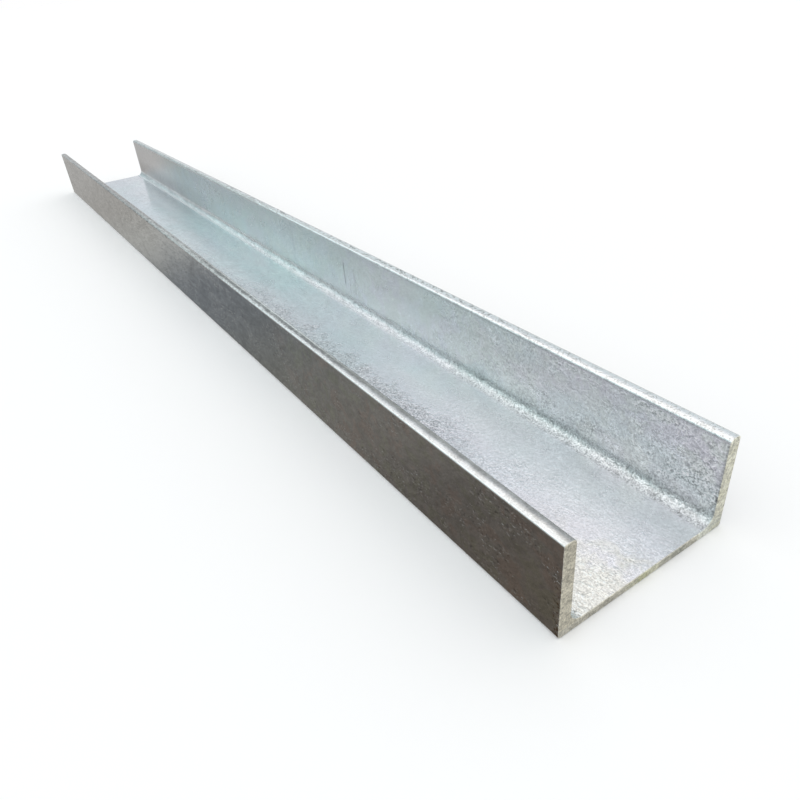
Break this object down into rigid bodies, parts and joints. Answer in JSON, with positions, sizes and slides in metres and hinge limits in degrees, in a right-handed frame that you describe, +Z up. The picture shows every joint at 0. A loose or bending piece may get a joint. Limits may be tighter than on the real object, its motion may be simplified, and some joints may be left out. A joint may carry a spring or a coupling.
{
  "type": "steel c-post",
  "caption": "Galvanised parallel flange steel channel, sawn square, used upright as a C-post that holds wall sleepers between its flanges.",
  "frame": {"origin": "centre of the web's back face, half way along the post, on the floor that the post lies on", "axes": "+X along the post's length, +Y across the web from flange to flange, +Z up, the way the flanges and the open side of the C point"},
  "size_m": [1.35, 0.15, 0.075],
  "materials": {
    "galvanised_steel": "satin"
  },
  "bodies": {
    "root": {"channel": "galvanised_steel"}
  },
  "joints": []
}
